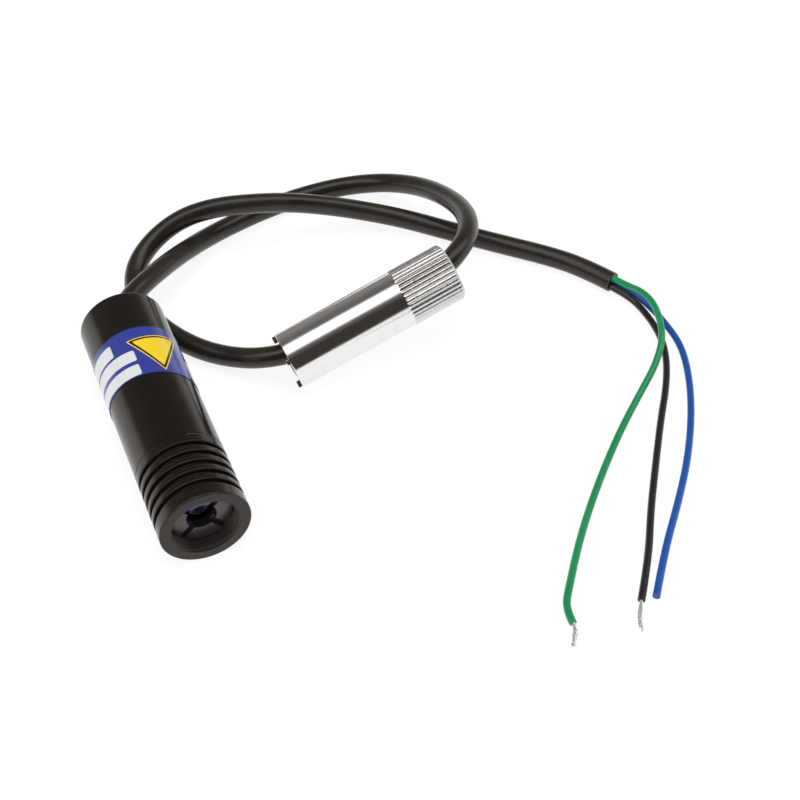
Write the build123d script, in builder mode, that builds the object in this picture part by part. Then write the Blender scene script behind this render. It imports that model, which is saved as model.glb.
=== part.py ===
"""A focusable laser diode module with its cable and its focusing key, lying on a table.

Sizes are in millimetres. The barrel lies along Y with its front face towards -Y, the table is z = 0,
and the origin is under the middle of the barrel. Two turned housings meet at a seam. The front one
has cooling grooves and a threaded bore for the lens cell, which a spring pushes against its thread.
The rear one holds the driver board and the plug that the cable comes out of. The key is threaded on
the cable: its prongs fit the slots of the lens cell.
"""

import math
import os

from build123d import *

# Barrel, outside. Its radius adds up from the diode outwards.
front_length = 13.6  # from the front face to the seam
rear_length = 36.4
rim_break = 0.35  # bevel of the front rim
seam_break = 0.12  # bevel on each side of the seam
rear_round = 0.5

# Cooling grooves of the front housing
groove_count = 5
groove_width = 1.0
groove_depth = 0.8
first_groove = 2.85  # from the front face to the middle of the foremost groove
last_groove = 2.27  # from the middle of the hindmost groove to the seam

# Bores of the housings
thread_wall = 2.1  # outside the crests of the lens thread
mouth_break = 0.3
thread_depth = 11.6  # from the front face to the spring's shoulder
shoulder_length = 1.0
shoulder_width = 1.8
spigot_wall = 1.28
spigot_past_holder = 2.0
rear_wall = 1.2
fit_gap = 0.02  # all round, between pieces that are pressed, glued or soldered together

# Seal at the seam
seal_from_seam = 1.9
seal_groove_depth = 0.7
seal_groove_width = 0.9

# Lens cell, lens and what holds it
turning_gap = 0.04  # between the lens cell and the crests of its thread
cell_recess = 2.4  # from the front face to the cell's face, at the middle of its travel
cell_length = 5.0
cell_step = 0.5  # the cell's face stands this much ahead of its threaded rim
cell_step_width = 0.41
aperture_r = 2.5
slot_count = 4
slot_width = 1.1
slot_depth = 1.0
slot_turn = 45  # of the first slot, from the horizontal
lens_r = 3.2
lens_edge = 1.0
lens_seat = 1.65  # from the cell's face to the lens's flange
lens_crown = 0.75
lens_back_crown = 0.3
retainer_length = 0.8
retainer_wall = 1.0
retainer_slot_width = 0.7
retainer_slot_depth = 0.4
washer_length = 0.4
washer_width = 1.66
washer_gap = 0.02

# Focusing spring
spring_wire_r = 0.22
spring_side_gap = 0.48
spring_turns = 3.5
spring_gap = 0.03

# Laser diode and its holder
holder_length = 6.0
holder_wall = 2.16  # round the diode's header
cap_r = 1.8
cap_height = 2.3
cap_wall = 0.25
cap_flange_width = 0.4
cap_flange_thickness = 0.3
cap_room = 0.1
window_hole_r = 0.65
window_lap = 0.25
window_thickness = 0.25
header_r = 2.8
header_thickness = 1.2
header_depth = 2.8  # from the holder's front to the header's seat
diode_retainer_length = 1.4
diode_retainer_wall = 1.05
lead_r = 0.225
lead_circle_r = 1.27
lead_lap = 2.0  # of the leads on the board

# Driver board and what is soldered to it, placed from the middle of the board's front edge
board_side_gap = 0.25
board_thickness = 0.8
board_length = 13.0
board_into_spigot = 1.2
board_corner = 0.8
solder_r = 0.75
chip_place = (-2.0, 3.8)
chip_width = 3.0
chip_length = 3.0
chip_height = 1.1
chip_lead_width = 0.3
chip_lead_reach = 0.95
chip_lead_thickness = 0.2
chip_lead_pitch = 0.65
chip_leads_a_side = 4
mould_taper = 4
transistor_place = (2.3, 6.85)
transistor_width = 4.5
transistor_length = 2.5
transistor_height = 1.5
transistor_tab_width = 1.7
transistor_tab_reach = 0.5
transistor_tab_thickness = 0.4
tantalum_place = (-2.45, 7.0)
tantalum_width = 3.5
tantalum_length = 2.8
tantalum_height = 1.9
tantalum_round = 0.25
trimmer_place = (2.6, 3.8)
trimmer_width = 3.0
trimmer_height = 1.3
trimmer_dial_r = 1.15
trimmer_dial_height = 0.35
trimmer_slot_width = 0.4
ceramic_places = [(-2.8, 3.6), (0, 4.6), (2.8, 3.6)]
ceramic_width = 1.25
ceramic_length = 2.0
ceramic_height = 0.85
resistor_middle = 8.3
resistor_pitch_across = 2.0
resistor_pitch_along = 2.6
resistors_across = 4
resistors_along = 2
resistor_width = 0.8
resistor_length = 1.6
resistor_height = 0.5

# Rear plug, clamp and cable
plug_length = 2.2
plug_recess = 0.3
plug_mouth_round = 0.9
jacket_r = 1.9
clamp_wall = 0.5
clamp_length = 1.6
clamp_bead = 0.25
wire_r = 0.63
wire_circle_r = 0.9  # the three wires' places in the jacket
pad_pitch = 1.7
pad_from_end = 0.4
wire_room = 7.1  # from the board to the jacket's inner end
straight_wire = 2.2
strand_r = 0.36

# Label
label_start = 27.9  # from the front face to the label's foremost corner
label_width = 12.5
label_thickness = 0.1
label_gap_angle = 40  # open at the bottom, where its ends nearly meet
label_skew = 6.2  # degrees that its front edge is cut askew

# Focusing key
key_gap = 0.15  # between the key and the crests of the lens thread
key_wall = 1.7
key_length = 33.1
key_tilt = 16.04  # degrees that its knurled end is held up by the cable
key_heading = 2.85  # degrees from X towards Y
key_foot = (24.91, 7.46)  # the middle of its pronged end, seen from above
key_break = 0.2
knurl_length = 10.4
knurl_count = 36
knurl_depth = 0.28
prong_gap = 0.075  # on each side of a prong in its slot
prong_length = 0.6

# Places along the barrel that follow from the sizes
rear_y = (front_length + rear_length) / 2
front_y = -rear_y
seam_y = front_y + front_length
shoulder_y = front_y + thread_depth
holder_y = shoulder_y + shoulder_length
holder_end_y = holder_y + holder_length
spigot_end_y = holder_end_y + spigot_past_holder
cell_y = front_y + cell_recess
cell_end_y = cell_y + cell_length
lens_y = cell_y + lens_seat
lens_end_y = lens_y + lens_edge
retainer_end_y = lens_end_y + retainer_length
washer_y = cell_end_y + washer_gap
washer_end_y = washer_y + washer_length
header_y = holder_y + header_depth
header_end_y = header_y + header_thickness
cap_y = header_y - cap_height
plug_end_y = rear_y - plug_recess
plug_y = plug_end_y - plug_length
clamp_y = plug_y - clamp_length
board_y = spigot_end_y - board_into_spigot
board_end_y = board_y + board_length
jacket_y = board_end_y + wire_room

# Radii and heights that follow from the sizes
holder_r = header_r + fit_gap + holder_wall
holder_bore_r = holder_r + fit_gap
spigot_r = holder_bore_r + spigot_wall
rear_bore_r = spigot_r + fit_gap
barrel_r = rear_bore_r + rear_wall
thread_r = barrel_r - thread_wall
shoulder_hole_r = thread_r - shoulder_width
cell_r = thread_r - turning_gap
cell_face_r = cell_r - cell_step_width
washer_hole_r = cell_r - washer_width
spring_r = thread_r - spring_side_gap - spring_wire_r
seal_section_r = (seal_groove_depth - fit_gap) / 2
seal_middle_r = spigot_r - seal_groove_depth / 2
lens_dome_r = aperture_r - cap_room
retainer_hole_r = lens_r - retainer_wall
cap_flange_r = cap_r + cap_flange_width
window_r = window_hole_r + window_lap
board_width = 2 * (holder_bore_r - board_side_gap)
board_top_z = barrel_r - lead_r - fit_gap
board_bottom_z = board_top_z - board_thickness
clamp_r = jacket_r + clamp_wall
key_r = thread_r - key_gap
key_bore_r = key_r - key_wall
prong_width = slot_width - 2 * prong_gap

# The sketch plane of every turned piece: its x runs along the barrel and its y is the radius
turning = Plane(origin=(0, 0, barrel_r), x_dir=(0, 1, 0), z_dir=(1, 0, 0))
barrel_axis = Axis((0, 0, barrel_r), (0, 1, 0))


def across(y):
    """A plane across the barrel at y, facing the rear, with its y upwards."""
    return Plane(origin=(0, y, barrel_r), x_dir=(-1, 0, 0), z_dir=(0, 1, 0))


def above_board(place, height=fit_gap):
    """A level plane over a place on the board."""
    x, y = place
    return Plane(origin=(x, board_y + y, board_top_z + height), x_dir=(1, 0, 0), z_dir=(0, 0, 1))


def dome_radius(half_width, height):
    """The radius of a dome of this half width and height."""
    return (half_width**2 + height**2) / (2 * height)


def keep(name, piece):
    """Labels a finished piece and writes its file."""
    piece.label = name
    export_step(piece, f"parts/{name}.step")


def arc_radii(points):
    """The radius at each corner of a route: 0.45 of the shorter run over the tangent of half the turn."""
    radii = []
    for before, corner, after in zip(points, points[1:], points[2:]):
        run_in = Vector(*corner) - Vector(*before)
        run_out = Vector(*after) - Vector(*corner)
        half_turn = math.radians(run_in.get_angle(run_out)) / 2
        radii.append(0.45 * min(run_in.length, run_out.length) / math.tan(half_turn))
    return radii


def cord_tube(points, radius, name):
    """A tube along straight runs joined by tangent arcs, with its bends and its volume printed."""
    radii = arc_radii(points)
    with BuildPart() as tube:
        with BuildLine() as route:
            FilletPolyline(*points, radius=radii)
        with BuildSketch(Plane(origin=route.line @ 0, z_dir=route.line % 0)):
            Circle(radius)
        sweep()
    length = sum(edge.length for edge in route.edges())
    share = tube.part.volume / (math.pi * radius**2 * length)
    print(f"{name}: {length:.1f} mm long, radii {[round(r, 1) for r in radii]}, volume share {share:.4f}")
    return tube.part


os.makedirs("parts", exist_ok=True)

# Front housing: its grooves, its stepped bore, and the spigot behind the seam with the seal's groove
with BuildPart() as front_housing:
    with BuildSketch(turning):
        with BuildLine():
            Polyline(
                (front_y, thread_r + mouth_break),
                (front_y, barrel_r - rim_break),
                (front_y + rim_break, barrel_r),
                (seam_y - seam_break, barrel_r),
                (seam_y, barrel_r - seam_break),
                (seam_y, spigot_r),
                (spigot_end_y, spigot_r),
                (spigot_end_y, holder_bore_r),
                (holder_y, holder_bore_r),
                (holder_y, shoulder_hole_r),
                (shoulder_y, shoulder_hole_r),
                (shoulder_y, thread_r),
                (front_y + mouth_break, thread_r),
                close=True,
            )
        make_face()
        groove_pitch = (front_length - first_groove - last_groove) / (groove_count - 1)
        groove_places = [(front_y + first_groove + groove_pitch * k, barrel_r) for k in range(groove_count)]
        with Locations(*groove_places):
            Rectangle(groove_width, 2 * groove_depth, mode=Mode.SUBTRACT)
        with Locations((seam_y + seal_from_seam, spigot_r)):
            Rectangle(seal_groove_width, 2 * seal_groove_depth, mode=Mode.SUBTRACT)
    revolve(axis=barrel_axis)
keep("front_housing", front_housing.part)

# Seal ring in its groove
with BuildPart() as seam_seal:
    with BuildSketch(turning):
        with Locations((seam_y + seal_from_seam, seal_middle_r)):
            Circle(seal_section_r)
    revolve(axis=barrel_axis)
keep("seam_seal", seam_seal.part)

# Rear housing: a plain tube with a rounded rear rim
with BuildPart() as rear_housing:
    with BuildSketch(turning):
        with BuildLine():
            Polyline(
                (seam_y, rear_bore_r),
                (seam_y, barrel_r - seam_break),
                (seam_y + seam_break, barrel_r),
                (rear_y, barrel_r),
                (rear_y, rear_bore_r),
                close=True,
            )
        make_face()
    revolve(axis=barrel_axis)
    rear_rim = rear_housing.edges().filter_by(GeomType.CIRCLE).group_by(Axis.Y)[-1].sort_by(SortBy.RADIUS)[-1]
    fillet(rear_rim, rear_round)
keep("rear_housing", rear_housing.part)

# Rear plug: a disc whose hole has a rounded mouth that lets the cable bend
with BuildPart() as rear_plug:
    with BuildSketch(across(plug_y)):
        Circle(rear_bore_r - fit_gap)
        Circle(jacket_r + fit_gap, mode=Mode.SUBTRACT)
    extrude(amount=plug_length)
    mouth = rear_plug.edges().filter_by(GeomType.CIRCLE).group_by(Axis.Y)[-1].sort_by(SortBy.RADIUS)[0]
    fillet(mouth, plug_mouth_round)
keep("rear_plug", rear_plug.part)

# Clamp on the jacket, against the plug's inner face, so that a pull on the cable ends there
with BuildPart() as cable_clamp:
    with BuildSketch(turning):
        with BuildLine():
            Polyline(
                (clamp_y, jacket_r + fit_gap),
                (clamp_y, clamp_r),
                (plug_y - clamp_bead, clamp_r),
                (plug_y - clamp_bead, clamp_r + clamp_bead),
                (plug_y, clamp_r + clamp_bead),
                (plug_y, jacket_r + fit_gap),
                close=True,
            )
        make_face()
    revolve(axis=barrel_axis)
keep("cable_clamp", cable_clamp.part)

# Label: a thin band on the rear housing, open at the bottom, with its front edge cut askew
label_y = front_y + label_start
with BuildPart(mode=Mode.PRIVATE) as label_band:
    with BuildSketch(turning):
        with Locations((label_y + label_width / 2, barrel_r + label_thickness / 2)):
            Rectangle(label_width, label_thickness)
    revolve(axis=barrel_axis, revolution_arc=360 - label_gap_angle)
askew = math.radians(label_skew)
label_corner = (barrel_r, label_y, barrel_r)
with BuildPart() as label:
    add(label_band.part.rotate(barrel_axis, 180 + label_gap_angle / 2))
    cut = Plane(origin=label_corner, x_dir=(0, 0, 1), z_dir=(math.sin(askew), math.cos(askew), 0))
    split(bisect_by=cut, keep=Keep.TOP)
keep("label", label.part)

# Lens cell: threaded rim, raised face with the key's slots, aperture, and the lens's seat behind it
with BuildPart() as lens_cell:
    with BuildSketch(turning):
        with BuildLine():
            Polyline(
                (cell_y, aperture_r),
                (cell_y, cell_face_r),
                (cell_y + cell_step, cell_face_r),
                (cell_y + cell_step, cell_r),
                (cell_end_y, cell_r),
                (cell_end_y, lens_r + fit_gap),
                (lens_y, lens_r + fit_gap),
                (lens_y, aperture_r),
                close=True,
            )
        make_face()
    revolve(axis=barrel_axis)
    with BuildSketch(across(cell_y)):
        with PolarLocations(0, slot_count, start_angle=slot_turn):
            with Locations((cell_r, 0)):
                Rectangle(2 * (cell_r - aperture_r) + slot_width, slot_width)
    extrude(amount=slot_depth, mode=Mode.SUBTRACT)
keep("lens_cell", lens_cell.part)

# Collimating lens: a flange, a strong dome that stands in the aperture, and a weak one behind
with BuildPart() as collimating_lens:
    with BuildSketch(turning):
        with BuildLine():
            front_dome = RadiusArc(
                (lens_y, lens_dome_r), (lens_y - lens_crown, 0), -dome_radius(lens_dome_r, lens_crown)
            )
            Line(front_dome @ 1, (lens_end_y + lens_back_crown, 0))
            back_dome_r = retainer_hole_r - cap_room
            back_dome = RadiusArc(
                (lens_end_y + lens_back_crown, 0),
                (lens_end_y, back_dome_r),
                -dome_radius(back_dome_r, lens_back_crown),
            )
            Polyline(back_dome @ 1, (lens_end_y, lens_r), (lens_y, lens_r), front_dome @ 0)
        make_face()
    revolve(axis=barrel_axis)
keep("collimating_lens", collimating_lens.part)

# Lens retainer: a ring with two spanner slots
with BuildPart() as lens_retainer:
    with BuildSketch(across(lens_end_y)):
        Circle(lens_r)
        Circle(retainer_hole_r, mode=Mode.SUBTRACT)
    extrude(amount=retainer_length)
    with BuildSketch(across(retainer_end_y)):
        Rectangle(3 * lens_r, retainer_slot_width)
    extrude(amount=-retainer_slot_depth, mode=Mode.SUBTRACT)
keep("lens_retainer", lens_retainer.part)

# Thrust washer between the turning cell and the spring
with BuildPart() as thrust_washer:
    with BuildSketch(across(washer_y)):
        Circle(cell_r)
        Circle(washer_hole_r, mode=Mode.SUBTRACT)
    extrude(amount=washer_length)
keep("thrust_washer", thrust_washer.part)

# Focusing spring between the washer and the shoulder
spring_y = washer_end_y + spring_gap + spring_wire_r
spring_height = shoulder_y - spring_gap - spring_wire_r - spring_y
with BuildPart() as focus_spring:
    with BuildLine() as coil:
        spring_foot = (0, spring_y, barrel_r)
        Helix(spring_height / spring_turns, spring_height, spring_r, center=spring_foot, direction=(0, 1, 0))
    with BuildSketch(Plane(origin=coil.line @ 0, z_dir=coil.line % 0)):
        Circle(spring_wire_r)
    sweep(is_frenet=True)
keep("focus_spring", focus_spring.part)

# Diode holder: a heat sink pressed into the front housing, against the shoulder
with BuildPart() as diode_holder:
    with BuildSketch(turning):
        with BuildLine():
            Polyline(
                (holder_y, cap_flange_r + cap_room),
                (holder_y, holder_r),
                (holder_end_y, holder_r),
                (holder_end_y, header_r + fit_gap),
                (header_y, header_r + fit_gap),
                (header_y, cap_flange_r + cap_room),
                close=True,
            )
        make_face()
    revolve(axis=barrel_axis)
keep("diode_holder", diode_holder.part)

# Diode retainer: a ring that presses the header onto its seat
with BuildPart() as diode_retainer:
    with BuildSketch(across(header_end_y)):
        Circle(header_r)
        Circle(header_r - diode_retainer_wall, mode=Mode.SUBTRACT)
    extrude(amount=diode_retainer_length)
keep("diode_retainer", diode_retainer.part)

# Diode header, with a hole for each lead
lead_places = [(-lead_circle_r, 0), (lead_circle_r, 0), (0, -lead_circle_r)]
with BuildPart() as diode_header:
    with BuildSketch(across(header_y)):
        Circle(header_r)
        with Locations(*lead_places):
            Circle(lead_r, mode=Mode.SUBTRACT)
    extrude(amount=header_thickness)
keep("diode_header", diode_header.part)

# Diode leads: two lie on the board and the third passes under it
with BuildPart() as diode_leads:
    with BuildSketch(across(header_y)):
        with Locations(*lead_places):
            Circle(lead_r)
    extrude(amount=board_y + lead_lap - header_y)
keep("diode_leads", diode_leads.part)

# Diode cap: a thin can with a flange on the header and a hole for the window
with BuildPart() as diode_cap:
    with BuildSketch(turning):
        with BuildLine():
            Polyline(
                (cap_y, window_hole_r),
                (cap_y, cap_r),
                (header_y - cap_flange_thickness, cap_r),
                (header_y - cap_flange_thickness, cap_flange_r),
                (header_y, cap_flange_r),
                (header_y, cap_r - cap_wall),
                (cap_y + cap_wall, cap_r - cap_wall),
                (cap_y + cap_wall, window_hole_r),
                close=True,
            )
        make_face()
    revolve(axis=barrel_axis)
keep("diode_cap", diode_cap.part)

# Diode window, inside the cap
with BuildPart() as diode_window:
    with BuildSketch(across(cap_y + cap_wall)):
        Circle(window_r)
    extrude(amount=window_thickness)
keep("diode_window", diode_window.part)

# Driver board: its front end stands in the spigot, between the diode's leads
with BuildPart() as driver_board:
    with BuildSketch(above_board((0, board_length / 2), 0)):
        Rectangle(board_width, board_length)
    extrude(amount=-board_thickness)
    rear_corners = driver_board.edges().filter_by(Axis.Z).group_by(Axis.Y)[-1]
    chamfer(rear_corners, board_corner)
keep("driver_board", driver_board.part)

# Driver chip: a moulded body with two rows of leads
with BuildPart() as driver_chip:
    with BuildSketch(above_board(chip_place, fit_gap + chip_lead_thickness / 2)):
        Rectangle(chip_width, chip_length)
    extrude(amount=chip_height, taper=mould_taper)
    with BuildSketch(above_board(chip_place)):
        with GridLocations(chip_width, chip_lead_pitch, 2, chip_leads_a_side):
            Rectangle(2 * chip_lead_reach, chip_lead_width)
    extrude(amount=chip_lead_thickness)
keep("driver_chip", driver_chip.part)

# Drive transistor: a moulded body with one wide tab
with BuildPart() as drive_transistor:
    with BuildSketch(above_board(transistor_place)):
        Rectangle(transistor_width, transistor_length)
    extrude(amount=transistor_height, taper=mould_taper)
    with BuildSketch(above_board(transistor_place)):
        with Locations((0, transistor_length / 2)):
            Rectangle(transistor_tab_width, 2 * transistor_tab_reach)
    extrude(amount=transistor_tab_thickness)
keep("drive_transistor", drive_transistor.part)

# Tantalum capacitor
with BuildPart() as tantalum_capacitor:
    with BuildSketch(above_board(tantalum_place)):
        Rectangle(tantalum_width, tantalum_length)
    extrude(amount=tantalum_height)
    fillet(tantalum_capacitor.edges().filter_by(Axis.Z), tantalum_round)
keep("tantalum_capacitor", tantalum_capacitor.part)

# Current trimmer: a square body with a slotted dial
with BuildPart() as current_trimmer:
    with BuildSketch(above_board(trimmer_place)):
        Rectangle(trimmer_width, trimmer_width)
    extrude(amount=trimmer_height)
    trimmer_top = above_board(trimmer_place, fit_gap + trimmer_height)
    with BuildSketch(trimmer_top):
        Circle(trimmer_dial_r)
    extrude(amount=trimmer_dial_height)
    with BuildSketch(trimmer_top):
        Rectangle(2 * trimmer_dial_r, trimmer_slot_width)
    extrude(amount=trimmer_dial_height, mode=Mode.SUBTRACT)
keep("current_trimmer", current_trimmer.part)

# Ceramic capacitors and chip resistors, under the board
under_board = Plane(origin=(0, board_y, board_bottom_z - fit_gap), x_dir=(-1, 0, 0), z_dir=(0, 0, -1))
with BuildPart() as ceramic_capacitors:
    with BuildSketch(under_board):
        with Locations(*ceramic_places):
            Rectangle(ceramic_width, ceramic_length)
    extrude(amount=ceramic_height)
keep("ceramic_capacitors", ceramic_capacitors.part)

with BuildPart() as chip_resistors:
    with BuildSketch(under_board):
        with Locations((0, resistor_middle)):
            with GridLocations(resistor_pitch_across, resistor_pitch_along, resistors_across, resistors_along):
                Rectangle(resistor_width, resistor_length)
    extrude(amount=resistor_height)
keep("chip_resistors", chip_resistors.part)

# Wires inside the barrel, from the jacket's inner end to their pads on the board
wire_angles = {"blue": 330, "green": 90, "black": 210}
pad_y = board_end_y - pad_from_end
pad_places = []
for k, (colour, angle) in enumerate(wire_angles.items()):
    turn = math.radians(angle)
    start_x = -wire_circle_r * math.cos(turn)
    start_z = barrel_r + wire_circle_r * math.sin(turn)
    pad_x = pad_pitch * (k - 1)
    wire_z = board_top_z + fit_gap + wire_r
    inner_route = [
        (start_x, jacket_y, start_z),
        (start_x, jacket_y - straight_wire, start_z),
        (pad_x, pad_y + straight_wire, wire_z),
        (pad_x, pad_y, wire_z),
    ]
    inner_wire = f"{colour}_wire_inside"
    keep(inner_wire, cord_tube(inner_route, wire_r, inner_wire))
    pad_places.append((pad_x, pad_y - solder_r))

# Solder joints of the wires and the leads, each a half ball on the board
lead_pad_y = board_y + board_into_spigot
with BuildPart() as solder_joints:
    upper_places = pad_places + [(x, lead_pad_y) for x, z in lead_places if z == 0]
    with Locations(*[(x, y, board_top_z + fit_gap) for x, y in upper_places]):
        Sphere(solder_r, arc_size1=0, align=(Align.CENTER, Align.CENTER, Align.MIN))
    with Locations((0, lead_pad_y, board_bottom_z - fit_gap)):
        Sphere(solder_r, arc_size2=0, align=(Align.CENTER, Align.CENTER, Align.MAX))
    with BuildSketch(across(board_y)):
        with Locations(*lead_places):
            Circle(lead_r + fit_gap)
    extrude(amount=lead_lap, mode=Mode.SUBTRACT)
keep("solder_joints", solder_joints.part)

# Cable jacket: out through the plug, over itself, down through the key and back over the table.
# Inside the barrel it runs straight on to where its wires come out.
jacket_route = [
    (0, clamp_y, barrel_r),
    (0, rear_y + 0.9, barrel_r),
    (2.1, 30.6, 7.6),
    (8.2, 35.7, 7.4),
    (16.8, 44.1, 4.3),
    (27.1, 50.8, 1.9),
    (39.4, 53.8, 1.9),
    (50.8, 54.3, 2.0),
    (59.6, 51.0, 3.2),
    (64.7, 43.0, 6.6),
    (66.6, 33.0, 10.4),
    (66.2, 23.6, 13.6),
    (63.4, 16.2, 15.4),
    (58.6, 11.2, 15.4),
    (51.5, 8.6, 13.1),
    (43.8, 7.6, 10.8),
    (35.0, 7.4, 8.4),
    (26.6, 7.9, 6.2),
    (20.4, 10.8, 4.2),
    (15.8, 15.5, 2.3),
    (11.8, 19.8, 1.9),
    (8.4, 25.2, 1.9),
    (5.7, 32.2, 1.9),
    (5.3, 39.2, 2.0),
    (7.3, 45.0, 3.0),
    (12.1, 48.8, 4.9),
    (18.1, 49.9, 7.4),
    (24.0, 48.1, 9.5),
    (30.0, 46.4, 9.9),
    (37.5, 45.7, 8.6),
    (44.8, 45.0, 6.3),
    (52.1, 43.2, 4.1),
    (60.1, 39.0, 2.6),
    (67.6, 32.2, 2.0),
    (75.1, 25.0, 1.9),
    (82.0, 18.4, 1.9),
    (86.5, 12.8, 1.9),
    (89.4, 7.2, 1.9),
]
with BuildPart() as cable_jacket:
    add(cord_tube(jacket_route, jacket_r, "cable_jacket"))
    with BuildSketch(across(jacket_y)):
        Circle(jacket_r)
    extrude(amount=clamp_y - jacket_y)
keep("cable_jacket", cable_jacket.part)

# The three wires: each starts on the jacket's cut face and runs over the table
green_route = [
    (89.4, 7.2, 2.9),
    (90.78, 4.54, 2.9),
    (91.8, -0.2, 4.6),
    (91.55, -5.2, 5.1),
    (89.3, -11.75, 4.6),
    (85.7, -15.97, 2.8),
    (80.17, -20.2, 1.1),
    (73.77, -25.67, 0.63),
    (66.94, -32.37, 0.63),
    (59.9, -39.88, 0.63),
    (54.44, -46.43, 0.63),
    (50.21, -52.11, 0.63),
    (47.43, -55.92, 0.63),
    (47.31, -58.9, 0.63),
]
black_route = [
    (88.71, 6.84, 1.45),
    (90.09, 4.18, 1.45),
    (91.75, 0.6, 0.75),
    (91.7, -6.6, 0.63),
    (89.94, -12.72, 0.63),
    (86.18, -19.4, 0.63),
    (80.81, -26.74, 0.63),
    (75.24, -34.94, 0.63),
    (69.2, -43.92, 0.63),
    (64.21, -52.2, 0.63),
    (59.05, -59.12, 0.63),
]
blue_route = [
    (90.09, 7.56, 1.45),
    (91.47, 4.9, 1.45),
    (93.35, 0.4, 0.75),
    (93.86, -5.2, 0.63),
    (93.61, -11.83, 0.63),
    (90.56, -19.97, 0.63),
    (86.04, -28.28, 0.63),
    (80.1, -37.02, 0.63),
    (73.51, -44.93, 0.63),
    (67.23, -51.99, 0.63),
    (61.54, -59.4, 0.63),
]
keep("green_wire", cord_tube(green_route, wire_r, "green_wire"))
keep("black_wire", cord_tube(black_route, wire_r, "black_wire"))
keep("blue_wire", cord_tube(blue_route, wire_r, "blue_wire"))

# The bare, tinned ends of two wires
green_strand_route = [(47.31, -58.9, 0.63), (47.27, -60.0, 0.6), (46.3, -61.3, 0.5), (45.3, -62.9, 0.45)]
black_strand_route = [(59.05, -59.12, 0.63), (58.4, -60.2, 0.63), (56.9, -62.4, 0.5), (56.4, -64.4, 0.45)]
keep("green_strands", cord_tube(green_strand_route, strand_r, "green_strands"))
keep("black_strands", cord_tube(black_strand_route, strand_r, "black_strands"))

# Focusing key: a tube on the cable, with prongs at its lower end and a straight knurl at the other
tilt = math.radians(key_tilt)
heading = math.radians(key_heading)
key_foot_z = key_r * math.cos(tilt) - key_break * math.sin(tilt)
key_along = (math.cos(tilt) * math.cos(heading), math.cos(tilt) * math.sin(heading), math.sin(tilt))
key_side = (math.sin(heading), -math.cos(heading), 0)
key_end = Plane(origin=(*key_foot, key_foot_z), x_dir=key_side, z_dir=key_along)
knurl_cutter_r = 1.5 * knurl_depth
with BuildPart() as focusing_key:
    with BuildSketch(key_end):
        Circle(key_r)
        Circle(key_bore_r, mode=Mode.SUBTRACT)
    extrude(amount=key_length)
    rims = focusing_key.edges().filter_by(GeomType.CIRCLE)
    chamfer(rims, key_break)
    with BuildSketch(key_end.offset(key_length - knurl_length)):
        with PolarLocations(key_r - knurl_depth + knurl_cutter_r, knurl_count):
            RegularPolygon(knurl_cutter_r, 4)
    extrude(amount=knurl_length, mode=Mode.SUBTRACT)
    with BuildSketch(key_end.offset(key_break)):
        with PolarLocations(0, slot_count, start_angle=slot_turn):
            with Locations(((key_r + key_bore_r) / 2, 0)):
                Rectangle(key_wall - 2 * key_break, prong_width)
    extrude(amount=-prong_length - key_break)
keep("focusing_key", focusing_key.part)
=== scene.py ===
"""Looks for a focusable laser diode module with its cable, its three wires and its focusing key.

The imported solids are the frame, in metres: the barrel lies along Y with its front face towards -Y,
and the floor is z = 0. The cable and the wires are smooth curves along the frame's own routes. The
front housing, the focusing spring, the key and the bare wire ends are new surfaces, and every other
solid gets a finish.
"""

import math

import bmesh
import bpy
import numpy as np
from bpy.props import FloatProperty, FloatVectorProperty, IntProperty, PointerProperty
from bpy.types import Operator, Panel, PropertyGroup
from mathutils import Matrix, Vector


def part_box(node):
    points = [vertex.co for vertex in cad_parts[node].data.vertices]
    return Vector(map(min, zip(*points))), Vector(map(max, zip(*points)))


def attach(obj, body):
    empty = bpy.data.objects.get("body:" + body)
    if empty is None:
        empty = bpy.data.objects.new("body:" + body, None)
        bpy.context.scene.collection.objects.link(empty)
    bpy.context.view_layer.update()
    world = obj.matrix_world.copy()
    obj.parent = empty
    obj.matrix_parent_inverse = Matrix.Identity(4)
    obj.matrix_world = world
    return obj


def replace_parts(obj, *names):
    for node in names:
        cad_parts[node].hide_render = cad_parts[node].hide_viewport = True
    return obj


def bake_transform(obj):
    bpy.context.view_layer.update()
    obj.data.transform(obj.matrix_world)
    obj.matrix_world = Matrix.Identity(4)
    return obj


bl_info = {
    "name": "Laser Diode Module",
    "version": (1, 0, 0),
    "blender": (4, 5, 0),
    "location": "View3D > Sidebar > Diode Module",
    "description": "Dresses the solids of a focusable laser diode module, its cable and its key",
    "category": "Object",
}

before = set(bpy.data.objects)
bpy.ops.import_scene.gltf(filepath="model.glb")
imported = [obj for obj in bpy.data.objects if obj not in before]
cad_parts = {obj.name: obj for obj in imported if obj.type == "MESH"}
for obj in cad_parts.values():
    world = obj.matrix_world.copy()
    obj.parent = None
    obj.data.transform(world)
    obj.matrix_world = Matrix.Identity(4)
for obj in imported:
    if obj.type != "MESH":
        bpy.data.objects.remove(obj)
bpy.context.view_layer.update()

MM = 0.001
TURN = 2 * math.pi
BODY = "housing"
AXIS_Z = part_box("front_housing")[1].z / 2  # height of the barrel's axis
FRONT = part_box("front_housing")[0].y  # the front face
MERGE = 0.0001 * MM  # points nearer than this are one
FLOOR_GAP = 0.02 * MM

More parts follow.
